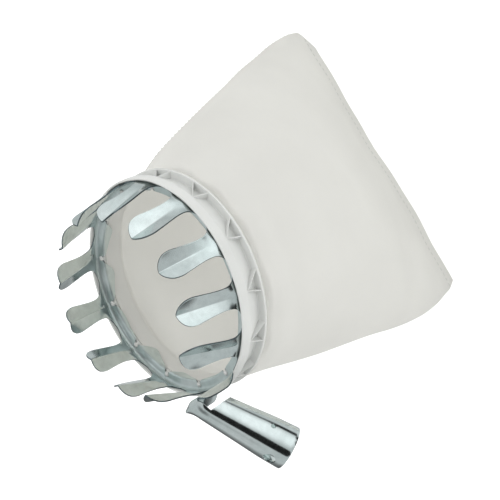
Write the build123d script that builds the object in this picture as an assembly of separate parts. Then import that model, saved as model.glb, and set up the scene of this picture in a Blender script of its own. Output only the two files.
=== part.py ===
from build123d import *
import math
import os

# Fruit picker basket, millimetres: a sheet-steel crown of fingers with a pole socket,
# a moulded bag ring, a cloth bag and its stitching.
# The crown's mouth opens along +Z, the bag hangs along -Z and the pole socket points
# away along +X, sloping down. Origin: centre of the crown's ring plate, on its upper face.

POSITIONS = 13              # twelve fingers and the socket tongue, evenly spaced
PITCH = 360.0 / POSITIONS   # degrees
SHEET = 1.0                 # zinc-plated steel sheet
EPS = 0.001                 # keeps two surfaces from coinciding

# ---- crown: ring plate, tabs, fingers ----
PLATE_IN = 69.5             # inside face of the turned-down tabs
PLATE_BEND_R = 74.4         # radius where the outer flange starts to turn up
FLANGE_MID = 3.0            # mid-sheet radius of that turn
FLANGE_TOP = 2.6            # edge height of the flange between fingers
FLANGE_STEPS = 6            # flats in the turn
NOTCH_PCD_R = 72.9          # a round notch for each peg of the bag ring
NOTCH_R = 2.1
NOTCH_SLOT_W = 2.6          # slot from the notch towards the inner edge of the plate
NOTCH_SLOT_LEN = 7.0
NOTCH_CUT_H = 6.0
TAB_TOP = -0.3              # just inside the plate
TAB_DEPTH = 7.0
TAB_FRACTIONS = (0.10, 0.32, 0.44, 0.92)   # start, two lower corners and end across a pitch
TAB_CUT_START = 60.0        # the tab outline is extruded outwards from this radius
TAB_CUT_LEN = 20.0

# Blade stations: radius of crease, height, half width, edge offset outwards,
# lean in degrees (positive leans inwards)
FINGER_STATIONS = (
    (77.40, 1.6, 17.0, -1.9, 0.0),
    (77.35, 2.8, 14.6, -1.2, 4.0),
    (76.90, 4.3, 11.6, -0.5, 12.0),
    (75.80, 6.5, 9.0, 0.3, 18.6),
    (74.60, 10.0, 7.8, 1.4, 18.6),
    (73.20, 14.0, 7.4, 2.0, 18.6),
    (70.90, 20.8, 7.9, 2.7, 18.6),
    (68.50, 28.0, 8.8, 3.7, 18.6),
    (66.50, 34.0, 9.4, 4.6, 18.6),
    (65.15, 38.0, 9.0, 4.9, 18.6),
    (64.00, 41.4, 7.5, 4.3, 18.6),
    (63.15, 44.0, 4.6, 2.7, 18.6),
    (62.70, 45.3, 1.6, 1.0, 18.6),
)
TONGUE_STATIONS = (
    (77.40, 1.6, 18.0, -2.1, 0.0),
    (77.45, 3.0, 16.0, -1.5, -2.0),
    (77.55, 5.0, 13.8, -0.7, -4.3),
    (77.85, 9.0, 12.0, 1.6, -4.3),
    (78.30, 15.0, 10.8, 4.0, -4.3),
    (79.00, 24.5, 10.1, 4.6, -4.3),
    (79.55, 32.0, 10.0, 3.4, -4.3),
    (79.90, 36.9, 9.8, 0.9, -4.3),
)
BLADE_FRACTIONS = (-1.0, -0.5, 0.0, 0.5, 1.0)   # section points across the half width

# ---- crown: fold and rolled socket; stations are distances along the socket axis ----
FOLD_R = 3.0                # mid-sheet radius of the fold at the top of the tongue
FOLD_STEPS = 6
FOLD_NARROWING = 0.3        # loss of half width round the fold
AXIS_START = (81.8, 30.7)   # x, z of station 0, in the plane y = 0
AXIS_DOWN = 34.4            # degrees below the ring plane
SOCKET_LEN = 69.0
SOCKET_FRONT = 7.0          # station where the top wall of the rolled tube starts
SOCKET_FRONT_ROUT = 10.9
SOCKET_END_ROUT = 15.4
SOCKET_END_RIN = SOCKET_END_ROUT - SHEET
SOCKET_CYL = 14.0           # parallel length at the open end
TAPER_END = SOCKET_LEN - SOCKET_CYL
BORE_CLEARANCE = 0.08       # extra off the wall at the narrow end of the bore
REBORE_START = SOCKET_FRONT + 2.2
RIM_STATION = 12.3          # the front rim is cut on a slant: station at mid height
RIM_SLANT = 31.0            # and its slant, degrees
SCREW_D = 3.6
SCREW_FROM_END = 19.0
TOP_HOLE_D = 9.0
TOP_HOLE_FROM_END = 10.5

# ---- moulded bag ring ----
LIP_IN = 78.4
LIP_OUT = 80.2
LIP_TOP = 5.0
LIP_CHAMFER = 0.5
SEAT_IN = 70.9
SEAT_TOP = -1.1
SEAT_BOTTOM = -3.0
FLANGE_OUT = 80.6
RING_FLANGE_TOP = -15.0
RING_BACK = -17.0
FLANGE_CHAMFER = 0.4
HEM_GAP = 0.3               # between the hem of the bag and the ring
PEG_R = 1.9
PEG_TOP = 0.9
PEG_ROOT = SEAT_TOP - 0.4
RIB_T = 1.3
RIB_TOP = (76.4, 77.8, -4.4)      # inner radius, outer radius, height
RIB_FOOT = (73.8, 80.3, -15.6)
RIB_FOOT_TURNS = (-0.039, 0.151)  # radians the foot is turned round the ring from the top

# ---- bag ----
CLOTH = 1.2
HEM_OUT = 72.2
HEM_TOP = -3.4
BAG_TOP = -17.3
SHOULDER_OUT = 79.0
BAG_AZ = -6.9               # direction of the flat bottom seam, degrees
BAG_STATIONS = (
    # height, centre offset along the seam direction, half length, half thickness
    (-18.6, 0.0, 79.0, 79.0),
    (-48.0, -4.1, 87.1, 75.0),
    (-90.0, -8.9, 98.4, 68.0),
    (-135.0, -13.2, 108.8, 53.0),
    (-175.0, -17.0, 117.4, 33.0),
    (-205.0, -20.8, 120.6, 17.0),
    (-229.0, -23.6, 117.2, 1.9),
)
BAG_END_Z, BAG_END_CENTRE, BAG_END_HALF, _ = BAG_STATIONS[-1]
SEAM_TOP = BAG_END_Z + 1.5  # overlaps the end of the bag
SEAM_TOP_HALF = BAG_END_HALF - 3.0
SEAM_BOTTOM = -238.0
SEAM_HALF = 110.0
SEAM_CENTRE = -20.5
SEAM_HALF_T = CLOTH         # two layers of cloth

# ---- stitching ----
STITCH_Z = -233.5           # row along the bottom seam
STITCH_PITCH = 5.0
STITCH_LEN = 3.4
STITCH_D = 0.5
STITCH_ENDS = 12.0          # length of bottom seam left unstitched, both ends together
BOTTOM_GAP = 0.05           # between thread and cloth
SIDE_GAP = 0.12
SIDE_TOP = -26.0            # side seam runs from under the ring to the bottom seam
SIDE_BOTTOM = -222.0

TURN_BAG = Rot(0, 0, BAG_AZ)


def polygon(points):
    """Flat face through (x, y, z) points."""
    return Face(Wire.make_polygon([Vector(*p) for p in points], close=True))


def ring_of(profile):
    """Revolve a closed (r, z) polygon about Z."""
    return revolve(polygon([(r, 0, z) for r, z in profile]), Axis.Z, 360)


def around(shape, first=0):
    """Copies of a shape at the crown's positions, from the given one on."""
    return [Rot(0, 0, k * PITCH) * shape for k in range(first, POSITIONS)]


# ---- crown ----
def ring_plate():
    """Flat plate with its outer edge turned up."""
    centre_z = FLANGE_MID - SHEET / 2

    def turned_up(radius):
        points = []
        for i in range(FLANGE_STEPS + 1):
            angle = math.radians(-90 + 90 * i / FLANGE_STEPS)
            points.append((PLATE_BEND_R + radius * math.cos(angle),
                           centre_z + radius * math.sin(angle)))
        return points + [(points[-1][0], FLANGE_TOP)]

    outer = turned_up(FLANGE_MID + SHEET / 2)
    inner = turned_up(FLANGE_MID - SHEET / 2)
    edge = PLATE_IN + EPS
    return ring_of([(edge, -SHEET)] + outer + inner[::-1] + [(edge, 0.0)])


def notch():
    slot_x = NOTCH_PCD_R - NOTCH_SLOT_LEN / 2
    return (Pos(NOTCH_PCD_R, 0, -SHEET / 2) * Cylinder(NOTCH_R, NOTCH_CUT_H)
            + Pos(slot_x, 0, -SHEET / 2) * Box(NOTCH_SLOT_LEN, NOTCH_SLOT_W, NOTCH_CUT_H))


def turned_down_tabs():
    """Lopsided trapeziums cut from a thin tube, so that they follow the ring."""
    tube_out, tube_low = PLATE_IN + SHEET, -TAB_DEPTH - 1
    tube = ring_of([(PLATE_IN, tube_low), (tube_out, tube_low),
                    (tube_out, TAB_TOP), (PLATE_IN, TAB_TOP)])
    start, low_start, low_end, end = [
        (f - 0.5) * math.radians(PITCH) * PLATE_IN for f in TAB_FRACTIONS]
    outline = Polygon((start, TAB_TOP), (low_start, -TAB_DEPTH),
                      (low_end, -TAB_DEPTH), (end, TAB_TOP), align=None)
    tabs = []
    for k in range(POSITIONS):
        angle = math.radians((k + 0.5) * PITCH)
        cos, sin = math.cos(angle), math.sin(angle)
        plane = Plane(origin=(TAB_CUT_START * cos, TAB_CUT_START * sin, 0),
                      x_dir=(-sin, cos, 0), z_dir=(cos, sin, 0))
        tabs += (tube & extrude(plane * outline, TAB_CUT_LEN)).solids()
    return tabs


def blade_section(radius, z, half, edge, lean):
    """Sheet section across a blade: curved for a negative edge offset, creased otherwise."""
    power = 2.0 if edge < 0 else 1.0
    cos, sin = math.cos(math.radians(lean)), math.sin(math.radians(lean))

    def side(shift):
        points = []
        for f in BLADE_FRACTIONS:
            offset = edge * abs(f) ** power + shift
            points.append((radius + cos * offset, f * half, z + sin * offset))
        return points

    return polygon(side(SHEET / 2) + side(-SHEET / 2)[::-1])


def blade(stations):
    return loft([blade_section(*station) for station in stations], ruled=True)


# Directions in the plane y = 0, as (x, z)
SLOPE = math.radians(AXIS_DOWN)
ALONG = (math.cos(SLOPE), -math.sin(SLOPE))   # along the socket, away from the crown
UP = (math.sin(SLOPE), math.cos(SLOPE))       # towards the top side of the socket
# Local x is the top side, local z runs along the socket
AXIS_PLANE = Plane(origin=(AXIS_START[0], 0, AXIS_START[1]),
                   x_dir=(UP[0], 0, UP[1]), z_dir=(ALONG[0], 0, ALONG[1]))


def strip(x, z, normal, half):
    """Flat section of sheet centred on (x, z), facing along normal."""
    dx, dz = normal[0] * SHEET / 2, normal[1] * SHEET / 2
    return polygon([(x + dx, -half, z + dz), (x + dx, half, z + dz),
                    (x - dx, half, z - dz), (x - dx, -half, z - dz)])


def fold_and_top_strip():
    """Fold over the top of the tongue, and the strip from there into the socket's top wall."""
    tongue_x, tongue_z, tongue_half, _, lean = TONGUE_STATIONS[-1]
    centre_x = tongue_x + FOLD_R * math.cos(math.radians(lean))
    centre_z = tongue_z + FOLD_R * math.sin(math.radians(lean))
    turn = 90 + lean + AXIS_DOWN
    sections = []
    for i in range(FOLD_STEPS + 1):
        angle = math.radians(180 + lean - turn * i / FOLD_STEPS)
        normal = (math.cos(angle), math.sin(angle))
        end_x, end_z = centre_x + FOLD_R * normal[0], centre_z + FOLD_R * normal[1]
        half = tongue_half - FOLD_NARROWING * i / FOLD_STEPS
        sections.append(strip(end_x, end_z, normal, half))
    fold = loft(sections, ruled=True)

    # end of the fold: station on the socket axis and height over it
    dx, dz = end_x - AXIS_START[0], end_z - AXIS_START[1]
    fold_station = dx * ALONG[0] + dz * ALONG[1]
    fold_height = dx * UP[0] + dz * UP[1]

    middle, joined, end = 4.5, SOCKET_FRONT + 1.5, SOCKET_FRONT + 9.0
    blend = (middle - fold_station) / (SOCKET_FRONT + 1.0 - fold_station)
    front_height = wall_height(SOCKET_FRONT)
    middle_height = fold_height * (1 - blend) + front_height * blend
    rows = (
        # station, height over the axis, half width
        (fold_station - 0.2, fold_height, tongue_half - FOLD_NARROWING),
        (middle, middle_height, 7.4),
        (joined, wall_height(joined), 6.8),
        (end, wall_height(end) - 0.25, 5.0),
    )
    top_strip = loft([strip(AXIS_START[0] + ALONG[0] * station + UP[0] * height,
                            AXIS_START[1] + ALONG[1] * station + UP[1] * height, UP, half)
                      for station, height, half in rows], ruled=True)
    return fold, top_strip


def outside_radius(station):
    """Outside radius of the socket's tapered part."""
    share = (station - SOCKET_FRONT) / (TAPER_END - SOCKET_FRONT)
    return SOCKET_FRONT_ROUT + (SOCKET_END_ROUT - SOCKET_FRONT_ROUT) * share


def wall_height(station):
    """Mid-sheet height of the socket's top wall over the axis."""
    return outside_radius(station) - SHEET / 2


def bore(start, outside):
    """Inside of the socket from a station on, for the outside radius given there."""
    beyond = SOCKET_LEN + 1
    return AXIS_PLANE * ring_of([
        (0, start), (outside - SHEET - BORE_CLEARANCE, start),
        (SOCKET_END_RIN, TAPER_END), (SOCKET_END_RIN, beyond), (0, beyond)])


def rolled_socket():
    body = AXIS_PLANE * ring_of([
        (0, SOCKET_FRONT), (SOCKET_FRONT_ROUT, SOCKET_FRONT),
        (SOCKET_END_ROUT, TAPER_END), (SOCKET_END_ROUT, SOCKET_LEN), (0, SOCKET_LEN)])
    socket = body - bore(SOCKET_FRONT - 1, SOCKET_FRONT_ROUT)
    rim = AXIS_PLANE * Pos(0, 0, RIM_STATION) * Rot(0, RIM_SLANT, 0)
    return socket - rim * Pos(0, 0, -20) * Box(80, 80, 40)


def make_crown():
    crown = ring_plate() - around(notch())
    fingers = around(blade(FINGER_STATIONS), first=1)
    tongue = blade(TONGUE_STATIONS)
    fold, top_strip = fold_and_top_strip()
    crown = crown + fingers + turned_down_tabs() + [tongue, fold, top_strip, rolled_socket()]

    # screw hole through both side walls, larger hole in the top wall
    screw_place = AXIS_PLANE * Pos(0, 0, SOCKET_LEN - SCREW_FROM_END)
    screw_cut = screw_place * Rot(90, 0, 0) * Cylinder(SCREW_D / 2, 60)
    top_place = AXIS_PLANE * Pos(12, 0, SOCKET_LEN - TOP_HOLE_FROM_END)
    top_cut = top_place * Rot(0, 90, 0) * Cylinder(TOP_HOLE_D / 2, 20)
    crown = crown - screw_cut - top_cut
    # clear what the top strip leaves inside the socket
    return crown - bore(REBORE_START, outside_radius(REBORE_START))


# ---- moulded ring ----
def rib(foot_turn):
    half = RIB_T / 2

    def end(inner, outer, z, turn):
        cos, sin = math.cos(turn), math.sin(turn)
        corners = [(inner, -half), (outer, -half), (outer, half), (inner, half)]
        return polygon([(x * cos - y * sin, x * sin + y * cos, z) for x, y in corners])

    return loft([end(*RIB_TOP, 0.0), end(*RIB_FOOT, foot_turn)], ruled=True)


def make_bag_ring():
    hem_side = HEM_OUT + HEM_GAP
    ring = ring_of([
        # seat and lip
        (SEAT_IN, SEAT_TOP), (LIP_IN, SEAT_TOP),
        (LIP_IN, LIP_TOP - LIP_CHAMFER), (LIP_IN + LIP_CHAMFER, LIP_TOP),
        (LIP_OUT - LIP_CHAMFER, LIP_TOP), (LIP_OUT, LIP_TOP - LIP_CHAMFER),
        # outside of the sloping wall
        (LIP_OUT, -2.8), (78.4, -3.6), (74.7, -14.6),
        # bottom flange
        (FLANGE_OUT - FLANGE_CHAMFER, RING_FLANGE_TOP),
        (FLANGE_OUT, RING_FLANGE_TOP - FLANGE_CHAMFER),
        (FLANGE_OUT, RING_BACK + FLANGE_CHAMFER), (FLANGE_OUT - FLANGE_CHAMFER, RING_BACK),
        # inside of the wall, up to the seat
        (hem_side, RING_BACK), (hem_side, -13.6), (75.8, SEAT_BOTTOM), (SEAT_IN, SEAT_BOTTOM)])
    peg = Pos(NOTCH_PCD_R, 0, (PEG_ROOT + PEG_TOP) / 2) * Cylinder(PEG_R, PEG_TOP - PEG_ROOT)
    ribs = []
    for foot_turn in RIB_FOOT_TURNS:
        ribs += around(rib(foot_turn))
    return ring + around(peg) + ribs


# ---- bag ----
def bag_body(inset=0.0, top_shift=0.0):
    """Loft through the bag's ovals, each made smaller by inset."""
    ovals = []
    for i, (z, centre, length, thickness) in enumerate(BAG_STATIONS):
        height = z if i else z + top_shift
        ovals.append((Pos(centre, 0, height) * Ellipse(length - inset, thickness - inset)).face())
    return loft(ovals)


def seam_section(z, centre, half):
    left, right, t = centre - half, centre + half, SEAM_HALF_T
    return polygon([(left, -t, z), (right, -t, z), (right, t, z), (left, t, z)])


def make_bag(outer):
    body_top = BAG_STATIONS[0][0]
    hem = ring_of([
        (HEM_OUT - CLOTH, HEM_TOP), (HEM_OUT, HEM_TOP), (HEM_OUT, BAG_TOP),
        (SHOULDER_OUT, BAG_TOP), (SHOULDER_OUT, body_top), (HEM_OUT - CLOTH, body_top)])
    seam = loft([seam_section(SEAM_TOP, BAG_END_CENTRE, SEAM_TOP_HALF),
                 seam_section(SEAM_BOTTOM, SEAM_CENTRE, SEAM_HALF)], ruled=True)
    return TURN_BAG * (outer - bag_body(CLOTH, EPS) + seam) + hem


# ---- stitching ----
def stitch():
    return Cylinder(STITCH_D / 2, STITCH_LEN)


def make_bottom_thread():
    """A row of stitches on each face of the bottom seam."""
    count = int((2 * SEAM_HALF - STITCH_ENDS) / STITCH_PITCH)
    share = (STITCH_Z - SEAM_BOTTOM) / (SEAM_TOP - SEAM_BOTTOM)
    middle = SEAM_CENTRE + share * (BAG_END_CENTRE - SEAM_CENTRE)
    offset = SEAM_HALF_T + STITCH_D / 2 + BOTTOM_GAP
    stitches = []
    for side in (-1, 1):
        for i in range(count + 1):
            x = middle + (i - count / 2) * STITCH_PITCH
            stitches.append(TURN_BAG * Pos(x, side * offset, STITCH_Z) * Rot(0, 90, 0) * stitch())
    return Compound(children=stitches)


def make_side_thread(outer):
    """Stitches down the -X edge of the bag, just outside the cloth."""
    edge_points = []
    z = SIDE_TOP
    while z > SIDE_BOTTOM:
        hits = outer.find_intersection_points(Axis((-20, 0, z), (-1, 0, 0)))
        edge_points.append((min(point.X for point, _ in hits), z))
        z -= STITCH_PITCH
    gap = STITCH_D / 2 + SIDE_GAP
    stitches = []
    for (x1, z1), (x2, z2) in zip(edge_points, edge_points[1:]):
        run = math.hypot(x2 - x1, z2 - z1)
        dx, dz = (x2 - x1) / run, (z2 - z1) / run
        plane = Plane(origin=((x1 + x2) / 2 + dz * gap, 0, (z1 + z2) / 2 - dx * gap),
                      x_dir=(0, 1, 0), z_dir=(dx, 0, dz))
        stitches.append(TURN_BAG * (plane * stitch()))
    return Compound(children=stitches)


os.makedirs("parts", exist_ok=True)
bag_outside = bag_body()
export_step(make_crown(), "parts/crown.step")
export_step(make_bag_ring(), "parts/bag_ring.step")
export_step(make_bag(bag_outside), "parts/bag_cloth.step")
export_step(make_bottom_thread(), "parts/bottom_seam_thread.step")
export_step(make_side_thread(bag_outside), "parts/side_seam_thread.step")
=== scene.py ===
"""A sheet-metal crown of twelve fingers and one socket, with a plastic ring and a cloth bag.

The crown's plate lies level with its top face at z = 0, centred on the z axis. The fingers
rise from its edge, and the socket leans out and down on the +X side. The moulded ring sits
in the plate and the bag hangs from the ring towards -Z. Shapes are worked out in
millimetres and turned into metres when their mesh is made.
"""
import math

import bmesh
import bpy
import numpy as np
from mathutils import Matrix, Vector


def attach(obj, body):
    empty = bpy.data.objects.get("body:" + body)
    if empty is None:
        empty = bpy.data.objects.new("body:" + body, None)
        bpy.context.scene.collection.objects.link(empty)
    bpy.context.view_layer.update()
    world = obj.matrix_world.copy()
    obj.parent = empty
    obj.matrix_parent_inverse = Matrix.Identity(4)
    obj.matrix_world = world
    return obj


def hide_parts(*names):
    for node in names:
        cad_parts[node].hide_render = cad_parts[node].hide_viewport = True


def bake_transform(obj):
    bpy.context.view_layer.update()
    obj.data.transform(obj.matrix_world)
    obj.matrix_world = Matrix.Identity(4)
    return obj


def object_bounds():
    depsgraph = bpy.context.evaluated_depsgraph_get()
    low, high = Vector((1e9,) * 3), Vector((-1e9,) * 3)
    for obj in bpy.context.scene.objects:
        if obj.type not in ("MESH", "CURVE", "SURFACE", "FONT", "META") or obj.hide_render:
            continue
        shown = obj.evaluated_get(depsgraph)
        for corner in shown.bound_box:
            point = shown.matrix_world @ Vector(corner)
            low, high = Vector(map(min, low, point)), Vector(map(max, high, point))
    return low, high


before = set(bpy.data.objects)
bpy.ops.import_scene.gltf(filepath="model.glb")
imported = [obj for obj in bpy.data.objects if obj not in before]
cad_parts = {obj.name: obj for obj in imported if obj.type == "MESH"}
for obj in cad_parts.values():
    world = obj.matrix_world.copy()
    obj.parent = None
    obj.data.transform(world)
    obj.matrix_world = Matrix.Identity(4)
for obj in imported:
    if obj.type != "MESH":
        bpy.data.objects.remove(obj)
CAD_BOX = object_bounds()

MM = 0.001
SECTORS = 13
SECTOR_ANGLE = 2 * math.pi / SECTORS
scene = bpy.context.scene


# ------------------------------------------------------------------ curves and points
def curve(xs, ys):
    """Smooth curve through points, without overshoot, held level beyond its ends."""
    xs, ys = np.asarray(xs, float), np.asarray(ys, float)
    step = np.diff(xs)
    secant = np.diff(ys) / step
    slope = np.zeros(len(xs))
    slope[0], slope[-1] = secant[0], secant[-1]
    for i in range(1, len(xs) - 1):
        if secant[i - 1] * secant[i] > 0:
            before, after = 2 * step[i] + step[i - 1], step[i] + 2 * step[i - 1]
            slope[i] = (before + after) / (before / secant[i - 1] + after / secant[i])

    def value(x):
        x = np.clip(np.asarray(x, float), xs[0], xs[-1])
        i = np.clip(np.searchsorted(xs, x, side="right") - 1, 0, len(step) - 1)
        t = (x - xs[i]) / step[i]
        return ((2 * t**3 - 3 * t**2 + 1) * ys[i] + (t**3 - 2 * t**2 + t) * step[i] * slope[i]
                + (-2 * t**3 + 3 * t**2) * ys[i + 1] + (t**3 - t**2) * step[i] * slope[i + 1])

    return value


def ease(start, end, x):
    """0 up to start, 1 from end on, and a smooth step between."""
    t = np.clip((np.asarray(x, float) - start) / (end - start), 0, 1)
    return t * t * (3 - 2 * t)


def around(count):
    return np.linspace(0, 2 * math.pi, count, endpoint=False)


def polar(radius, angle, z):
    """Points from cylindrical coordinates, any of which may be an array."""
    x, y = radius * np.cos(angle), radius * np.sin(angle)
    return np.stack(np.broadcast_arrays(x, y, z), axis=-1)


def rotz(points, angle):
    c, s = math.cos(angle), math.sin(angle)
    out = points.copy()
    out[..., 0] = points[..., 0] * c - points[..., 1] * s
    out[..., 1] = points[..., 0] * s + points[..., 1] * c
    return out


# ------------------------------------------------------------------ meshes
def add_object(name, mesh):
    ob = bpy.data.objects.new(name, mesh)
    scene.collection.objects.link(ob)
    return ob


class Build:
    """Collects vertices in millimetres and faces, then makes one mesh in metres."""

    def __init__(self):
        self.points, self.faces, self.count = [], [], 0

    def grid(self, points, close_cols=False, close_rows=False, flip=False):
        """Quads over an array of rows x columns x 3."""
        rows, cols = points.shape[:2]
        for i in range(rows if close_rows else rows - 1):
            for j in range(cols if close_cols else cols - 1):
                this_row = self.count + i * cols
                next_row = self.count + (i + 1) % rows * cols
                k = (j + 1) % cols
                a, b, c, d = this_row + j, this_row + k, next_row + k, next_row + j
                self.faces.append((a, d, c, b) if flip else (a, b, c, d))
        self.points.append(points.reshape(-1, 3))
        self.count += rows * cols

    def capped(self, points):
        """A tube of closed rows with a face over each end."""
        rows, cols = points.shape[:2]
        self.grid(points, close_cols=True)
        first, last = self.count - rows * cols, self.count - 1
        self.faces.append(tuple(range(first, first + cols)))
        self.faces.append(tuple(range(last, last - cols, -1)))

    def make(self, name):
        mesh = bpy.data.meshes.new(name)
        points = np.concatenate(self.points) * MM
        mesh.from_pydata([tuple(p) for p in points], [], self.faces)
        mesh.update()
        return add_object(name, mesh)


def weld(ob, distance):
    """Joins vertices closer than distance and drops what collapses."""
    bm = bmesh.new()
    bm.from_mesh(ob.data)
    bmesh.ops.remove_doubles(bm, verts=bm.verts, dist=distance)
    bmesh.ops.dissolve_degenerate(bm, edges=bm.edges, dist=1e-7)
    bm.to_mesh(ob.data)
    bm.free()


def outward(ob):
    bm = bmesh.new()
    bm.from_mesh(ob.data)
    bmesh.ops.recalc_face_normals(bm, faces=bm.faces)
    bm.to_mesh(ob.data)
    bm.free()


def apply(ob, kind, **settings):
    """Adds a modifier and applies it at once."""
    modifier = ob.modifiers.new(kind.lower(), kind)
    for key, value in settings.items():
        setattr(modifier, key, value)
    graph = bpy.context.evaluated_depsgraph_get()
    mesh = bpy.data.meshes.new_from_object(ob.evaluated_get(graph))
    old = ob.data
    ob.modifiers.clear()
    ob.data = mesh
    mesh.name = ob.name
    bpy.data.meshes.remove(old)


def combine(ob, tools, operation="DIFFERENCE", use_self=False):
    """Boolean with each tool in turn, which is used up."""
    for tool in tools:
        apply(ob, "BOOLEAN", object=tool, operation=operation, solver="EXACT", use_self=use_self)
        bpy.data.objects.remove(tool)


def shade(ob, angle):
    """Smooth shading with edges sharper than angle, in degrees, kept crisp."""
    mesh = ob.data
    mesh.polygons.foreach_set("use_smooth", [True] * len(mesh.polygons))
    mesh.set_sharp_from_angle(angle=math.radians(angle))
    mesh.update()


def cylinder(name, centre, axis, radius, length):
    bm = bmesh.new()
    bmesh.ops.create_cone(bm, cap_ends=True, segments=48, radius1=radius * MM,
                          radius2=radius * MM, depth=length * MM)
    turn = Vector((0, 0, 1)).rotation_difference(Vector(axis))
    place = Matrix.Translation(Vector(centre) * MM) @ turn.to_matrix().to_4x4()
    bmesh.ops.transform(bm, matrix=place, verts=bm.verts)
    mesh = bpy.data.meshes.new(name)
    bm.to_mesh(mesh)
    bm.free()
    return add_object(name, mesh)


# ------------------------------------------------------------------ shader nodes
class Nodes:
    """Fills an emptied node tree. Any value may be a constant or another node's socket."""

    def __init__(self, tree):
        self.tree = tree
        tree.nodes.clear()

    def new(self, kind, **settings):
        node = self.tree.nodes.new("ShaderNode" + kind)
        for key, value in settings.items():
            setattr(node, key, value)
        return node

    def feed(self, node, values):
        """Sets inputs of a node, given as {name or index: value}."""
        for key, value in values.items():
            socket = node.inputs[key]
            if isinstance(value, bpy.types.NodeSocket):
                self.tree.links.new(value, socket)
            elif socket.type == "RGBA":
                socket.default_value = (*value, 1.0)
            else:
                socket.default_value = value

    def noise(self, coord, scale, detail=3.0, rough=0.5, distortion=0.0):
        node = self.new("TexNoise")
        self.feed(node, {"Scale": scale, "Detail": detail, "Roughness": rough,
                         "Distortion": distortion, "Vector": coord})
        return node.outputs["Fac"]

    def mapped(self, value, source, target=(0.0, 1.0), **settings):
        """Carries the range source over to the range target."""
        node = self.new("MapRange", **settings)
        self.feed(node, {"From Min": source[0], "From Max": source[1],
                         "To Min": target[0], "To Max": target[1], "Value": value})
        return node.outputs["Result"]

    def mix(self, factor, a, b, blend="MIX"):
        node = self.new("Mix", data_type="RGBA", blend_type=blend)
        self.feed(node, {0: factor, 6: a, 7: b})
        return node.outputs[2]

    def mix_shader(self, factor, a, b):
        node = self.new("MixShader")
        self.feed(node, {0: factor, 1: a, 2: b})
        return node.outputs[0]

    def math(self, operation, *values):
        node = self.new("Math", operation=operation)
        self.feed(node, dict(enumerate(values)))
        return node.outputs[0]

    def split(self, vector):
        node = self.new("SeparateXYZ")
        self.feed(node, {0: vector})
        return node.outputs

    def bump(self, height, distance, strength, normal=None):
        """Bump of a height in metres, laid over an earlier bump if one is given."""
        node = self.new("Bump")
        self.feed(node, {"Strength": strength, "Distance": distance, "Height": height})
        if normal is not None:
            self.feed(node, {"Normal": normal})
        return node.outputs[0]


def material(name):
    mat = bpy.data.materials.new(name)
    mat.use_nodes = True
    nodes = Nodes(mat.node_tree)
    output = nodes.new("OutputMaterial")
    surface = nodes.new("BsdfPrincipled")
    nodes.feed(output, {0: surface.outputs[0]})
    return mat, nodes, surface


# ------------------------------------------------------------------ materials
def zinc():
    """Bright zinc-plated sheet: pale green-blue, mottled, with painted shade in hollows."""
    mat, nodes, surface = material("zinc_plated_sheet")
    coord = nodes.new("TexCoord").outputs["Object"]
    mottle = nodes.noise(coord, scale=140, detail=4, rough=0.55, distortion=0.4)
    cloud = nodes.noise(coord, scale=28)
    colour = nodes.mix(nodes.mapped(cloud, source=(0.35, 0.68)),
                       (0.63, 0.705, 0.695), (0.73, 0.79, 0.78))
    speck = nodes.mapped(mottle, source=(0.30, 0.72), target=(0.90, 1.05))
    grey = nodes.new("CombineColor")
    nodes.feed(grey, {0: speck, 1: speck, 2: speck})
    colour = nodes.mix(1.0, colour, grey.outputs[0], blend="MULTIPLY")
    # the flat plate and its tabs keep a matt, even plating; elsewhere hollows are darkened with
    # painted shade, taken from an ambient-occlusion mask
    x, y, z = nodes.split(coord)
    across = nodes.math("SQRT", nodes.math("ADD", nodes.math("MULTIPLY", x, x),
                                           nodes.math("MULTIPLY", y, y)))
    plate = nodes.math("MULTIPLY",
                       nodes.mapped(across, source=(0.0782, 0.0788), target=(1.0, 0.0)),
                       nodes.mapped(z, source=(0.0034, 0.0046), target=(1.0, 0.0)))
    hollow = nodes.new("AmbientOcclusion", samples=8)
    nodes.feed(hollow, {"Distance": 0.006})
    dark = nodes.mapped(hollow.outputs["AO"], source=(0.34, 0.74), target=(1.0, 0.0))
    off_plate = nodes.mapped(plate, source=(0.0, 1.0), target=(1.0, 0.0))
    # painted shade: near-black mixed into the colour where occlusion is deep, off the plate
    painted_hollow_shade = nodes.math("MULTIPLY", dark, off_plate)
    rough = nodes.mapped(nodes.noise(coord, scale=60, detail=4, rough=0.6),
                         source=(0.3, 0.7), target=(0.08, 0.15))
    grain = nodes.noise(coord, scale=900, rough=0.6)
    wave = nodes.noise(coord, scale=45, detail=2)
    relief = nodes.bump(grain, distance=0.00002, strength=0.5)
    relief = nodes.bump(wave, distance=0.00022, strength=0.28, normal=relief)
    nodes.feed(surface, {
        "Base Color": nodes.mix(painted_hollow_shade, colour, (0.035, 0.055, 0.06)),
        "Metallic": 1.0,
        "Roughness": nodes.math("ADD", rough, nodes.math("MULTIPLY", plate, 0.30)),
        "Normal": relief,
    })
    return mat


def sheared():
    """Cut edge of the sheet: bare, darker and duller than the plated faces."""
    mat, nodes, surface = material("sheared_sheet_edge")
    coord = nodes.new("TexCoord").outputs["Object"]
    drag = nodes.noise(coord, scale=500, rough=0.6)
    nodes.feed(surface, {
        "Base Color": nodes.mix(drag, (0.06, 0.085, 0.095), (0.20, 0.25, 0.26)),
        "Metallic": 1.0,
        "Roughness": nodes.mapped(drag, source=(0.3, 0.7), target=(0.25, 0.42)),
        "Normal": nodes.bump(drag, distance=0.00004, strength=0.5),
    })
    return mat


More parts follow.
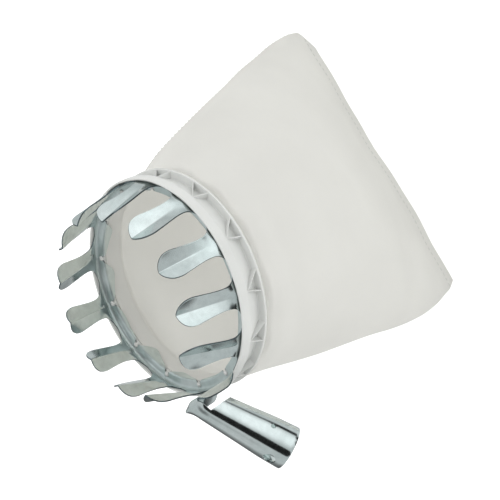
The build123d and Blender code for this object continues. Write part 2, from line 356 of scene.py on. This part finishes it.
def plastic():
    """White moulded plastic: satin, slightly translucent, with faint flow marks."""
    mat, nodes, surface = material("white_moulded_plastic")
    coord = nodes.new("TexCoord").outputs["Object"]
    cloud = nodes.mapped(nodes.noise(coord, scale=30), source=(0.3, 0.7))
    rough = nodes.noise(coord, scale=120, detail=4, rough=0.6)
    grain = nodes.noise(coord, scale=700, rough=0.6)
    flow = nodes.noise(coord, scale=38, detail=2)
    relief = nodes.bump(grain, distance=0.00003, strength=0.4)
    relief = nodes.bump(flow, distance=0.0004, strength=0.4, normal=relief)
    nodes.feed(surface, {
        "Base Color": nodes.mix(cloud, (0.59, 0.60, 0.585), (0.64, 0.65, 0.63)),
        "Roughness": nodes.mapped(rough, source=(0.3, 0.7), target=(0.36, 0.48)),
        "Subsurface Weight": 0.25,
        "Subsurface Radius": (0.002, 0.002, 0.0018),
        "Specular IOR Level": 0.45,
        "Normal": relief,
    })
    return mat


COTTON_FINISH = {"Roughness": 0.92, "Specular IOR Level": 0.15,
                 "Sheen Weight": 0.12, "Sheen Roughness": 0.5}
WEAVE_PERIOD = 0.00072  # metres of cloth in one cycle of the weave


def cloth():
    """Plain-weave white cotton. The UV map, in metres, runs u round the bag and v down it."""
    mat, nodes, surface = material("bag_cotton")
    tex = nodes.new("TexCoord")
    uv, coord = tex.outputs["UV"], tex.outputs["Object"]
    cloud = nodes.mapped(nodes.noise(coord, scale=14), source=(0.3, 0.7))
    colour = nodes.mix(cloud, (0.84, 0.838, 0.815), (0.875, 0.873, 0.85))
    u, v, _ = nodes.split(uv)
    wobble = nodes.mapped(nodes.noise(coord, scale=160, detail=2),
                          source=(0.2, 0.8), target=(-1.2, 1.2))

    def threads(position):
        phase = nodes.math("MULTIPLY", position, 2 * math.pi / WEAVE_PERIOD)
        return nodes.math("SINE", nodes.math("ADD", phase, wobble))

    weave = nodes.math("MULTIPLY", threads(u), threads(v))
    slub = nodes.noise(uv, scale=260, rough=0.7)
    fibre = nodes.noise(coord, scale=1400, detail=2, rough=0.6)
    weave_tint = nodes.math("MULTIPLY", nodes.mapped(weave, source=(-1, 1)), 0.10)
    colour = nodes.mix(weave_tint, colour, (0.70, 0.70, 0.68))
    slub_tint = nodes.mapped(slub, source=(0.55, 0.8), target=(0.0, 0.22))
    colour = nodes.mix(slub_tint, colour, (0.79, 0.79, 0.77))
    relief = nodes.bump(weave, distance=0.00007, strength=0.55)
    relief = nodes.bump(fibre, distance=0.00005, strength=0.5, normal=relief)
    relief = nodes.bump(slub, distance=0.00008, strength=0.35, normal=relief)
    # painted light: a faint emission glow on the strip behind the ring, standing in for light
    # that comes through the plastic
    height = nodes.split(coord)[2]
    nodes.feed(surface, COTTON_FINISH)
    nodes.feed(surface, {
        "Base Color": colour,
        "Normal": relief,
        "Emission Color": (1.0, 0.99, 0.96),
        "Emission Strength": nodes.mapped(height, source=(-0.026, -0.015), target=(0.0, 0.14)),
    })
    thin = nodes.new("BsdfTranslucent")
    nodes.feed(thin, {"Color": colour, "Normal": relief})
    translucency = 0.52
    nodes.feed(nodes.tree.nodes["Material Output"],
               {0: nodes.mix_shader(translucency, surface.outputs[0], thin.outputs[0])})
    return mat


def thread():
    """Cotton sewing thread, banded by its twist."""
    mat, nodes, surface = material("seam_thread")
    twist = nodes.new("TexWave")
    nodes.feed(twist, {"Scale": 900, "Vector": nodes.new("TexCoord").outputs["Object"]})
    twist = twist.outputs["Fac"]
    nodes.feed(surface, COTTON_FINISH)
    nodes.feed(surface, {
        "Base Color": nodes.mix(twist, (0.60, 0.61, 0.58), (0.80, 0.81, 0.78)),
        "Normal": nodes.bump(twist, distance=0.0001, strength=0.6),
    })
    return mat


MAT_ZINC = zinc()
MAT_EDGE = sheared()
MAT_PLASTIC = plastic()
MAT_CLOTH = cloth()
MAT_THREAD = thread()

# ------------------------------------------------------------------ crown: plate and tabs
SHEET = 1.0  # sheet thickness; the crown is drawn at its middle
PLATE_Z = -SHEET / 2
PLATE_INNER = 71.0  # where the tabs bend down
FLANGE_R = 77.4
FLANGE_RISE = 3.0
ROOT_Z = PLATE_Z + FLANGE_RISE  # top of the flange, where fingers and tongue start
BEND_START = 74.4  # where the plate starts to turn up into the flange
NOTCH_BEND_START = 76.0  # the same at a notch, before its share of the plate is taken off
NOTCH_AT, NOTCH_R = 72.9, 2.1  # round notch in the middle of each sector's inner edge
NOTCH_LIP = 0.35

# columns of a sector: -1 and 1 at its sides, 0 in its middle
HALF_COLUMNS = np.array([0, .03, .06, .085, .105, .117, .124, .14, .17, .21, .27, .34, .42, .51,
                         .60, .69, .78, .86, .93, 1.0])
ACROSS = np.concatenate([-HALF_COLUMNS[:0:-1], HALF_COLUMNS])

# length of a tab from the plate's inner edge, over 0..1 from one notch to the next
TAB_LENGTH = curve([0, .06, .09, .12, .36, .66, .90, .94, 1.0],
                   [0.3, 0.3, 0.6, 1.8, 7.2, 4.6, 1.6, 0.3, 0.3])
TAB_FIXED = 1.5  # only the length beyond this is scaled from tab to tab
# scale of the tab between sector k and k + 1
TAB_SCALE = [0.8, 0.95, 1.0, 0.85, 1.0, 0.95, 0.9, 1.0, 1.0, 0.35, 1.35, 0.8, 0.9]


def base_rows(scale_before, scale_after):
    """Tabs, plate and flange of one sector, from the free edge of the tabs outwards."""
    angle = ACROSS * SECTOR_ANGLE / 2
    y = NOTCH_AT * np.sin(angle)
    notch = np.abs(y) <= NOTCH_R
    notch_edge = NOTCH_AT + np.sqrt(np.clip(NOTCH_R**2 - y**2, 0, None)) + NOTCH_LIP
    edge = np.where(notch, notch_edge, PLATE_INNER)
    along_tab = np.where(ACROSS >= 0, ACROSS / 2, 1 + ACROSS / 2)
    scale = np.where(ACROSS >= 0, scale_after, scale_before)
    length = np.where(notch, NOTCH_LIP, TAB_LENGTH(along_tab))
    length = np.where(length > TAB_FIXED, TAB_FIXED + (length - TAB_FIXED) * scale, length)
    rows = []
    # tabs bend down by a quarter turn of radius 1 mm, then run straight; notches stay flat
    for j in range(8):
        rest = length * (1 - j / 8)
        arc = np.clip(rest, 0, math.pi / 2)
        r = np.where(notch, edge - rest, edge - np.sin(arc))
        bent = PLATE_Z - (1 - np.cos(arc)) - np.clip(rest - math.pi / 2, 0, None)
        rows.append(polar(r, angle, np.where(notch, PLATE_Z, bent)))
    for j in range(5):
        r = np.where(notch, edge + (NOTCH_BEND_START - edge) * j / 9,
                     edge + (BEND_START - edge) * (j / 5))
        rows.append(polar(r, angle, PLATE_Z))
    notch_start = np.maximum(BEND_START, edge + (NOTCH_BEND_START - edge) * 5 / 9)
    start = np.where(notch, notch_start, BEND_START)
    for j in range(9):
        turn = -math.pi / 2 + math.pi / 2 * j / 8
        r = start + (FLANGE_R - start) * math.cos(turn)
        rows.append(polar(r, angle, PLATE_Z + FLANGE_RISE * (1 + math.sin(turn))))
    return rows


# ------------------------------------------------------------------ crown: fingers
# curves over height z
FINGER_HALF_WIDTH = curve(
    [2.5, 2.62, 2.9, 3.4, 4.2, 5.0, 6.0, 7.5, 10, 14, 20, 28, 34, 38, 41, 43, 44.4, 45.2, 45.45],
    [18.5, 17.2, 15.6, 13.4, 11.2, 10.0, 9.1, 8.2, 7.6, 7.35, 7.8, 8.8, 9.5, 9.1, 7.8, 6.1, 4.1,
     2.0, 0.7])
FINGER_R = curve([2.5, 3.2, 4.6, 7.0, 11, 45.45], [77.4, 77.2, 76.5, 75.6, 74.25, 62.66])
FINGER_LEAN = curve([2.5, 4.5, 7.5, 50], [0, 10, 18.6, 18.6])  # degrees
# the section is a shallow V, its crease nearest the z axis: slope of its sides, and how
# far the crease is rounded
FINGER_VEE = curve([2.5, 5, 9, 14, 24, 34, 40, 46],
                   [0.0, 0.08, 0.20, 0.26, 0.36, 0.48, 0.56, 0.62])
FINGER_SOFT = curve([2.5, 6, 12, 46], [4.0, 1.6, 0.5, 0.35])
FINGER_Z = np.concatenate([
    [2.62, 2.9, 3.3, 3.8, 4.4, 5.1, 6.0, 7.0, 8.2], np.arange(9.6, 38.1, 1.6),
    [39.2, 40.2, 41.2, 42.1, 42.9, 43.6, 44.2, 44.7, 45.1, 45.35, 45.45]])


def vee(y, slope, soft):
    return slope * (np.sqrt(y**2 + soft**2) - soft)


def blade_row(z, half_width, radius, slope, soft, flat_z, lean=0.0):
    """One row of a blade: round like the flange at its root, a plain V from flat_z up."""
    y = half_width * ACROSS
    sag = FLANGE_R - np.sqrt(FLANGE_R**2 - y**2)
    out = -(1 - ease(ROOT_Z, flat_z, z)) * sag + vee(y, slope, soft)
    return np.stack([radius + math.cos(lean) * out, y, z + math.sin(lean) * out], 1)


def finger_rows():
    return [blade_row(z, FINGER_HALF_WIDTH(z), FINGER_R(z), FINGER_VEE(z), FINGER_SOFT(z),
                      flat_z=13.0, lean=math.radians(FINGER_LEAN(z)))
            for z in FINGER_Z]


# ------------------------------------------------------------------ crown: tongue and socket
TONGUE_TOP_R, TONGUE_TOP_Z = 79.9, 36.9
# curves over height z, as for the fingers
TONGUE_HALF_WIDTH = curve(
    [2.5, 2.62, 2.9, 3.5, 4.5, 5.8, 7.5, 9.5, 13, 18, 26, 33, TONGUE_TOP_Z],
    [18.5, 17.2, 15.8, 14.4, 13.6, 13.2, 12.9, 12.6, 12.2, 11.8, 11.3, 10.6, 9.9])
TONGUE_R = curve([2.5, 3.0, 5.0, 9.0, 15.0, 24.5, TONGUE_TOP_Z],
                 [77.4, 77.45, 77.55, 77.85, 78.30, 79.0, TONGUE_TOP_R])
TONGUE_VEE = curve([2.5, 5, 9, 14, 22, 30, 34.5, TONGUE_TOP_Z],
                   [0.0, 0.14, 0.44, 0.60, 0.64, 0.60, 0.44, 0.26])
TONGUE_Z = np.concatenate([[2.62, 2.9, 3.3, 3.9, 4.7, 5.7, 6.8, 8.0],
                           np.arange(9.6, 36.0, 1.7), [TONGUE_TOP_Z]])
TONGUE_SOFT = 1.6
TONGUE_LEAN = math.radians(-4.3)  # negative leans outwards

FOLD_R = 2.6
FOLD_EXIT = math.radians(22)  # below level, where the fold lets go
FOLD_HALF_WIDTH, STRIP_HALF_WIDTH = 9.8, 9.3  # at the start and the end of the fold

SOCKET_DIP = math.radians(34.4)  # of the axis, below level
SOCKET_AXIS = np.array([math.cos(SOCKET_DIP), 0, -math.sin(SOCKET_DIP)])
SOCKET_UP = np.array([-SOCKET_AXIS[2], 0, SOCKET_AXIS[0]])
SOCKET_SIDE = np.array([0, 1, 0])
SOCKET_ORIGIN = np.array([81.8, 0, 30.7])
SOCKET_END = 69.0
SOCKET_R = curve([4.0, 20, 36, 55, SOCKET_END], [10.25, 11.55, 12.87, 14.45, 15.0])
STRIP_ANGLE = math.radians(44)  # the strip joins the rim this far to each side of its top
SLIT_ANGLE = 0.016  # half the open slit along the socket's underside, in radians


def socket_point(along, up, side):
    """Points from distances along the socket's axis, above it and towards +Y."""
    along, up, side = (np.asarray(v, float)[..., None] for v in (along, up, side))
    return SOCKET_ORIGIN + SOCKET_AXIS * along + SOCKET_UP * up + SOCKET_SIDE * side


def socket_rim(angle):
    """Distance of the slanted near rim along the axis, at an angle from the top."""
    return 12.3 - 6.3 * np.cos(angle)


def tongue_rows():
    """Rising tongue, outward fold, and the strip that runs down into the socket."""
    rows = [blade_row(z, TONGUE_HALF_WIDTH(z), TONGUE_R(z), TONGUE_VEE(z), TONGUE_SOFT,
                      flat_z=14.0)
            for z in TONGUE_Z]
    up = np.array([-math.sin(TONGUE_LEAN), 0, math.cos(TONGUE_LEAN)])
    outer = np.array([up[2], 0, -up[0]])
    centre = np.array([TONGUE_TOP_R, 0, TONGUE_TOP_Z]) + outer * FOLD_R
    start = math.atan2(-outer[2], -outer[0])
    turn = math.atan2(up[2], up[0]) + FOLD_EXIT
    for i in range(1, 13):
        angle = start - turn * i / 12
        normal = np.array([math.cos(angle), 0, math.sin(angle)])
        middle = centre + FOLD_R * normal
        y = (FOLD_HALF_WIDTH + (STRIP_HALF_WIDTH - FOLD_HALF_WIDTH) * i / 12) * ACROSS
        drop = vee(y, 0.25 - 0.17 * i / 12, TONGUE_SOFT)
        rows.append(middle - normal * drop[:, None] + SOCKET_SIDE * y[:, None])
    # the flat strip curls gradually to the socket's radius
    offset = middle - SOCKET_ORIGIN
    start_along, start_up = offset @ SOCKET_AXIS, offset @ SOCKET_UP
    end_along = float(socket_rim(STRIP_ANGLE))
    end_radius = float(SOCKET_R(end_along))
    for i in range(1, 15):
        part = i / 14
        along = start_along + (end_along - start_along) * part
        bend = (1 / end_radius) * float(ease(-0.35, 0.75, part))
        height = start_up + (end_radius - start_up) * part + 0.4 * math.sin(math.pi * part)
        widening = (STRIP_ANGLE * end_radius - STRIP_HALF_WIDTH) * float(ease(0.25, 1.0, part))
        arc = (STRIP_HALF_WIDTH + widening) * ACROSS
        rows.append(socket_point(along, height + (np.cos(bend * arc) - 1) / bend,
                                 np.sin(bend * arc) / bend))
    return rows


def socket_rows():
    """Rolled socket, open along its underside by a hair."""
    wrap = (STRIP_ANGLE
            + (math.pi - SLIT_ANGLE - STRIP_ANGLE) * np.linspace(0, 1, 15)[1:])
    angles = np.concatenate([-wrap[::-1], STRIP_ANGLE * ACROSS, wrap])
    rim = np.where(np.abs(angles) <= STRIP_ANGLE + 1e-6, socket_rim(STRIP_ANGLE),
                   socket_rim(angles))
    rows = []
    for part in np.concatenate([[0, 0.015, 0.04], np.linspace(0.08, 0.78, 14),
                                [0.84, 0.90, 0.95, 1.0]]):
        along = rim + (SOCKET_END - rim) * part
        r = SOCKET_R(along)
        rows.append(socket_point(along, r * np.cos(angles), r * np.sin(angles)))
    return rows


def crown():
    build = Build()
    for k in range(SECTORS):
        rows = base_rows(TAB_SCALE[k - 1], TAB_SCALE[k])
        rows += finger_rows() if k else tongue_rows()
        build.grid(rotz(np.array(rows), k * SECTOR_ANGLE))
    build.grid(np.array(socket_rows()))
    ob = build.make("crown_sheet")
    weld(ob, 0.02 * MM)
    outward(ob)
    ob.data.materials.append(MAT_ZINC)
    ob.data.materials.append(MAT_EDGE)
    apply(ob, "SOLIDIFY", thickness=SHEET * MM, offset=0.0, use_even_offset=True,
          thickness_clamp=0.0, material_offset_rim=1)
    outward(ob)
    apply(ob, "BEVEL", width=0.22 * MM, segments=2, limit_method="ANGLE",
          angle_limit=math.radians(62), use_clamp_overlap=True)
    # a cross hole through both sides, and a larger one through the top only
    combine(ob, [
        cylinder("tmp_a", socket_point(SOCKET_END - 19.0, 0, 0), SOCKET_SIDE,
                 radius=1.8, length=60),
        cylinder("tmp_b", socket_point(SOCKET_END - 10.5, 14, 0), SOCKET_UP,
                 radius=4.5, length=16),
    ])
    shade(ob, 28)
    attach(ob, "head")
    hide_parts("crown")


crown()

# ------------------------------------------------------------------ moulded ring
# closed profile: radius, z
RING_PROFILE = [
    (70.9, -1.1), (78.4, -1.1), (78.4, 4.4), (78.9, 5.0), (79.7, 5.0), (80.2, 4.4),
    (80.25, 1.0), (80.2, -2.6), (78.6, -3.7), (77.3, -7.0), (75.8, -11.0), (74.7, -14.4),
    (75.3, -15.0), (80.2, -15.1), (80.7, -15.6), (80.7, -16.6), (80.2, -17.0), (72.5, -17.0),
    (72.5, -13.6), (74.0, -9.0), (75.8, -3.0), (70.9, -3.0)]
RING_SEGMENTS = 208
# inner radius, outer radius, z
RIB_TOP, RIB_FOOT = (76.8, 78.4, -4.2), (73.6, 80.1, -15.4)
RIB_TURNS = (-0.039, 0.151)  # how far each rib of a pair swings round to its foot, radians
RIB_CHAMFER = 0.4
PEG_AT = 72.95
PEG_PROFILE = ((1.9, -1.8), (1.9, 0.1), (1.78, 0.5), (1.45, 0.8), (0.9, 1.0), (0.3, 1.06))


def rib(turn):
    sections = []
    for part in np.linspace(0, 1, 7):
        inner = RIB_TOP[0] + (RIB_FOOT[0] - RIB_TOP[0]) * part
        outer = RIB_TOP[1] + (RIB_FOOT[1] - RIB_TOP[1]) * part ** 0.9
        z = RIB_TOP[2] + (RIB_FOOT[2] - RIB_TOP[2]) * part
        half = 0.42 + 0.10 * part
        shoulder = outer - RIB_CHAMFER
        section = [(inner, -half, z), (shoulder, -half, z), (outer, -half * 0.45, z),
                   (outer, half * 0.45, z), (shoulder, half, z), (inner, half, z)]
        sections.append(rotz(np.array(section), turn * part))
    return np.array(sections)


def bag_ring():
    build = Build()
    build.grid(np.array([polar(r, around(RING_SEGMENTS), z) for r, z in RING_PROFILE]),
               close_cols=True, close_rows=True)
    ob = build.make("bag_ring_moulding")
    outward(ob)
    apply(ob, "BEVEL", width=0.35 * MM, segments=3, limit_method="ANGLE",
          angle_limit=math.radians(24))
    # each sector has two ribs on the outside and a peg with a domed head
    peg = np.array([polar(r, around(24), z) + (PEG_AT, 0, 0) for r, z in PEG_PROFILE])
    extra = Build()
    for k in range(SECTORS):
        for part in (rib(RIB_TURNS[0]), rib(RIB_TURNS[1]), peg):
            extra.capped(rotz(part, k * SECTOR_ANGLE))
    ribs = extra.make("tmp_ribs")
    outward(ribs)
    combine(ob, [ribs], "UNION", use_self=True)
    shade(ob, 32)
    ob.data.materials.append(MAT_PLASTIC)
    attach(ob, "ring")
    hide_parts("bag_ring")


bag_ring()

# ------------------------------------------------------------------ bag
BAG_TURN = math.radians(-6.9)  # of the flattened bag, about z
BAG_NORMAL = np.array([math.sin(-BAG_TURN), math.cos(BAG_TURN), 0])  # out of its +Y layer
BAG_LIE = 6.6  # how far the bottom hangs towards that side
BAG_BOTTOM = 236
CLOTH_THICKNESS = 0.7
BAG_GIRTH = 0.500  # metres, the width of the UV map
SEG = 240
# oval sections over depth below z = 0: middle in x, half size in x, half size in y
BAG_DEPTHS = [17.6, 24.0, 30.0, 48.0, 90.0, 135.0, 175.0, 205.0, 226.0, BAG_BOTTOM]
BAG_MIDDLE = curve(BAG_DEPTHS,
                   [0.0, -0.2, -0.6, -4.1, -8.8, -13.4, -16.7, -21.2, -24.4, -18.9])
BAG_HALF_X = curve(BAG_DEPTHS,
                   [77.0, 79.4, 81.0, 87.1, 98.4, 108.6, 118.0, 121.0, 118.7, 107.6])
BAG_HALF_Y = curve(BAG_DEPTHS, [77.0, 79.2, 79.4, 74.8, 68.2, 53.8, 32.0, 17.0, 4.0, 0.9])
# round rows inside the ring and out under it: radius, depth
COLLAR = ((71.6, 3.6), (71.6, 8.0), (71.6, 12.5), (71.6, 15.2), (71.75, 16.8), (72.5, 17.8),
          (74.2, 18.9), (76.2, 20.1), (77.8, 21.6))
# creases: angle, depth, half width (radians), half length, slant (radians per mm), height
CREASES = (
    (0.55, 182, 0.20, 26, 0.016, 1.5), (0.95, 196, 0.16, 22, 0.020, 1.1),
    (0.30, 205, 0.14, 20, 0.012, 1.2), (2.55, 190, 0.18, 26, -0.014, 1.1),
    (1.45, 70, 0.10, 30, 0.004, 0.7), (2.15, 66, 0.10, 28, -0.004, 0.6),
    (3.7, 185, 0.20, 26, 0.014, 1.3), (5.6, 190, 0.20, 24, -0.016, 1.3),
    (4.4, 80, 0.12, 32, 0.004, 0.8))


def hang(ob):
    """Bakes the object's placement into its mesh; it is not attached to a body."""
    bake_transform(ob)


def wrinkle(depth, angle):
    """Outward push of the drape: thirteen folds by the ring, slack ones below, creases."""
    push = (0.50 * np.sin(angle * 13 + 0.018 * depth + 0.8 * np.sin(angle * 3))
            * np.exp(-((depth - 24) / 26.0) ** 2))
    push = push + (0.8 * np.sin(angle * 3.0 + 0.022 * depth + 0.6)
                   * ease(30, 110, depth) * (1 - ease(190, 232, depth)))
    push = push + (0.40 * np.sin(angle * 7.0 - 0.03 * depth)
                   * ease(60, 150, depth) * (1 - ease(200, 234, depth)))
    for at_angle, at_depth, wide, tall, slant, high in CREASES:
        fade = np.exp(-((depth - at_depth) / tall) ** 2)
        off = angle - at_angle - slant * (depth - at_depth)
        # a ridge with a shallower hollow beside it
        push = push + high * fade * (np.exp(-(off / wide) ** 2)
                                     - 0.6 * np.exp(-((off - 1.6 * wide) / wide) ** 2))
    return push


def bag_row(depth, angle):
    """One oval row, waved up and down and sideways towards the bottom."""
    x = BAG_MIDDLE(depth) + BAG_HALF_X(depth) * np.cos(angle)
    y = BAG_HALF_Y(depth) * np.sin(angle)
    push = wrinkle(depth, angle)
    # waves of the bottom edge, along x
    along = (x + 27) / 119
    lift = ((1.3 * np.sin(along * 2.6 + 0.7) + 0.7 * np.sin(along * 7.3 + 2.0)
             + 0.35 * np.sin(x / 7.0)) * ease(170, BAG_BOTTOM, depth))
    shift = (BAG_LIE * ((depth - 18.0) / (BAG_BOTTOM - 18.0)) ** 1.5
             + 1.6 * np.sin((x + 20) / 119 * 4.1 + 0.4) * ease(190, BAG_BOTTOM, depth))
    row = np.stack([x + push * np.cos(angle), y + push * np.sin(angle) + shift,
                    lift - depth], 1)
    return rotz(row, BAG_TURN)


def bag():
    """Makes the bag and returns its rows of points, which the seams follow."""
    angle = around(SEG)
    depths = np.concatenate([[23.6, 26.0], np.linspace(29, 215, 46),
                             np.linspace(218, BAG_BOTTOM, 9)])
    rows = np.array([polar(r, angle, -depth) for r, depth in COLLAR]
                    + [bag_row(depth, angle) for depth in depths])
    build = Build()
    build.grid(rows, close_cols=True, flip=True)
    # the two layers meet in the bottom seam; the faces at both ends are triangles
    last = build.count - SEG
    for j in range(SEG // 2):
        corners = (j, j + 1, SEG - j - 1, (SEG - j) % SEG)
        build.faces.append(tuple(last + c for c in dict.fromkeys(corners)))
    ob = build.make("bag_cloth_shell")
    outward(ob)
    mesh = ob.data
    # UV in metres: u round the tube, v down it
    steps = np.linalg.norm(np.diff(rows, axis=0), axis=2).mean(1)
    v = np.concatenate([[0], np.cumsum(steps)]) * MM
    layer = mesh.uv_layers.new(name="cloth")
    for poly in mesh.polygons:
        cols = [mesh.loops[i].vertex_index % SEG for i in poly.loop_indices]
        wraps = max(cols) - min(cols) > SEG / 2
        for i, col in zip(poly.loop_indices, cols):
            if wraps and col < SEG / 2:
                col += SEG
            layer.data[i].uv = (col / SEG * BAG_GIRTH, v[mesh.loops[i].vertex_index // SEG])
    apply(ob, "SOLIDIFY", thickness=CLOTH_THICKNESS * MM, offset=-1.0, use_even_offset=False)
    shade(ob, 60)
    ob.data.materials.append(MAT_CLOTH)
    hang(ob)
    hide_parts("bag_cloth")
    return rows


bag_rows = bag()

# ------------------------------------------------------------------ stitching
STITCH_PITCH = 4.6
STITCH_START = 0.8  # from the start of each pitch
STITCH_LENGTH = 3.0
THREAD_R = 0.28


def stitch_ends(line):
    """Start and end points of the stitches along a line of points."""
    run = np.concatenate([[0], np.cumsum(np.linalg.norm(np.diff(line, axis=0), axis=1))])

    def at(distance):
        return np.array([np.interp(distance, run, line[:, k]) for k in range(3)])

    starts = [i * STITCH_PITCH + STITCH_START for i in range(int(run[-1] // STITCH_PITCH))]
    return [(at(s), at(s + STITCH_LENGTH)) for s in starts]


def stitches(name, spans):
    """Separate rounded lengths of thread, dipping at both ends; spans: start, end, normal."""
    build = Build()
    for start, end, normal in spans:
        along = (end - start) / np.linalg.norm(end - start)
        side = np.cross(normal, along)
        rings = []
        for s in np.linspace(-1, 1, 7):
            arch = 1 - s * s
            centre = ((start + end) / 2 + along * (STITCH_LENGTH / 2 * s)
                      + normal * (0.30 * arch - 0.05))
            r = THREAD_R * (0.6 + 0.4 * arch)
            rings.append([centre + r * (math.cos(a) * side + math.sin(a) * normal)
                          for a in around(8)])
        build.capped(np.array(rings))
    ob = build.make(name)
    outward(ob)
    shade(ob, 60)
    ob.data.materials.append(MAT_THREAD)
    return ob


def bottom_stitching():
    """A line of stitches near the bottom edge on each layer, stopping short of the ends."""
    row, half = bag_rows[-4], SEG // 2
    layers = ((row[3:half - 2], BAG_NORMAL), (row[half + 3:SEG - 2][::-1], -BAG_NORMAL))
    ob = stitches("bottom_stitching", [(start, end, normal) for line, normal in layers
                                       for start, end in stitch_ends(line)])
    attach(ob, "bag")
    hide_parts("bottom_seam_thread")


def side_stitching():
    """Stitches down the -X edge of the bag."""
    spans = []
    for start, end in stitch_ends(bag_rows[11:-6, SEG // 2]):
        down = (end - start) / np.linalg.norm(end - start)
        spans.append((start, end, np.cross(BAG_NORMAL, down)))
    ob = stitches("side_stitching", spans)
    hang(ob)
    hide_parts("side_seam_thread")


bottom_stitching()
side_stitching()

# ------------------------------------------------------------------ floor
FLOOR_HALF = 4  # metres
FLOOR_GAP = 0.0015  # metres below the lowest point of the CAD


def stage_floor():
    mat, nodes, surface = material("pale_floor")
    nodes.feed(surface, {"Base Color": (0.90, 0.905, 0.90), "Roughness": 0.9,
                         "Emission Color": (1, 1, 1), "Emission Strength": 0.35})
    z = CAD_BOX[0].z - FLOOR_GAP
    mesh = bpy.data.meshes.new("stage_floor")
    corners = ((-1, -1), (1, -1), (1, 1), (-1, 1))
    mesh.from_pydata([(x * FLOOR_HALF, y * FLOOR_HALF, z) for x, y in corners], [],
                     [(0, 1, 2, 3)])
    ob = add_object("stage_floor", mesh)
    mesh.materials.append(mat)
    ob.visible_glossy = False


stage_floor()

# ------------------------------------------------------------------ world
# Even light for the matt materials. The sheet metal instead mirrors a studio with
# soft white panels, grey walls and black flags; later panels cover earlier ones.
WALL = 0.62
PANELS = (
    # azimuth, elevation, inner and outer radius in degrees, brightness
    (98, 2, 12, 46, 1.22),
    (148, 2, 6, 34, 0.95),
    (-62, -12, 10, 44, 0.16),
    (-105, 33, 12, 34, 0.60),
    (80, -68, 16, 30, 0.84),
    (0, -60, 8, 20, 0.22),
    (62, -26, 8, 17, 0.04),
    (36, -26, 8, 16, 0.04),
    (104, 54, 15, 22, 0.04),
    (146, 40, 9, 16, 0.04),
    (66, 54, 9, 16, 0.04),
    (34.5, 34.5, 15, 19, 0.010),
    (41, 42, 15, 19, 0.010),
    (49, 44, 14, 18, 0.010),
    (60, -39, 5, 12, 0.04),
    (85, -42, 5, 12, 0.04),
    (110, -46, 5, 11, 0.04),
    (-100, -2, 8, 24, 0.06),
    (-30, 72, 8, 26, 0.08),
    (-17, -29, 8, 18, 0.04),
    (38, -27, 7, 16, 0.04),
    (-150, 55, 6, 18, 1.5),
)


def towards(azimuth, elevation):
    a, e = math.radians(azimuth), math.radians(elevation)
    return (math.cos(a) * math.cos(e), math.sin(a) * math.cos(e), math.sin(e))


def studio_world():
    world = bpy.data.worlds.new("studio")
    scene.world = world
    world.use_nodes = True
    nodes = Nodes(world.node_tree)
    direction = nodes.new("TexCoord").outputs["Generated"]
    brightness = WALL
    for azimuth, elevation, inner, outer, level in PANELS:
        dot = nodes.new("VectorMath", operation="DOT_PRODUCT")
        nodes.feed(dot, {0: direction, 1: towards(azimuth, elevation)})
        cover = nodes.mapped(dot.outputs["Value"], interpolation_type="SMOOTHSTEP",
                             source=[math.cos(math.radians(r)) for r in (outer, inner)])
        blend = nodes.new("Mix", data_type="FLOAT")
        nodes.feed(blend, {0: cover, 2: brightness, 3: level})
        brightness = blend.outputs[0]
    even = nodes.new("Background")
    nodes.feed(even, {"Color": (0.985, 0.985, 0.985), "Strength": 1.03})
    studio = nodes.new("Background")
    nodes.feed(studio, {"Color": (0.96, 0.99, 1.0), "Strength": brightness})
    glossy = nodes.new("LightPath").outputs["Is Glossy Ray"]
    light = nodes.mix_shader(glossy, even.outputs[0], studio.outputs[0])
    nodes.feed(nodes.new("OutputWorld"), {0: light})


studio_world()


# ------------------------------------------------------------------ lights and camera
LIGHT_TARGET = (0, 0, -0.05)


def area(name, place, size, power):
    light = bpy.data.lights.new(name, "AREA")
    light.shape = "RECTANGLE"
    light.size, light.size_y = size
    light.energy = power
    light.specular_factor = 0.15
    ob = bpy.data.objects.new(name, light)
    ob.location = place
    ob.rotation_mode = "QUATERNION"
    ob.rotation_quaternion = (Vector(LIGHT_TARGET) - Vector(place)).to_track_quat("-Z", "Y")
    ob.visible_glossy = False
    scene.collection.objects.link(ob)


area("key", place=(-0.9, 0.6, 1.5), size=(1.0, 1.0), power=6.0)
area("fill", place=(1.1, 1.3, 0.2), size=(1.0, 1.0), power=1.5)
area("back", place=(-0.4, -1.5, 1.0), size=(1.2, 0.8), power=1.5)

scene.view_settings.view_transform = "Standard"
scene.view_settings.look = "None"

CAMERA_PLACE = (0.248371, 0.832198, 0.609298)
CAMERA_AXES = (
    (0.55483, 0.42609, -0.71457),  # right
    (-0.80127, 0.50481, -0.32113),  # up
    (0.22389, 0.75074, 0.62150),  # back
)
camera = bpy.data.cameras.new("camera")
camera.lens = 109.89
camera.sensor_width = 36.0
camera.clip_start, camera.clip_end = 0.05, 20
camera_ob = add_object("camera", camera)
camera_turn = Matrix(CAMERA_AXES).transposed().to_4x4()
camera_ob.matrix_world = Matrix.Translation(CAMERA_PLACE) @ camera_turn
scene.camera = camera_ob
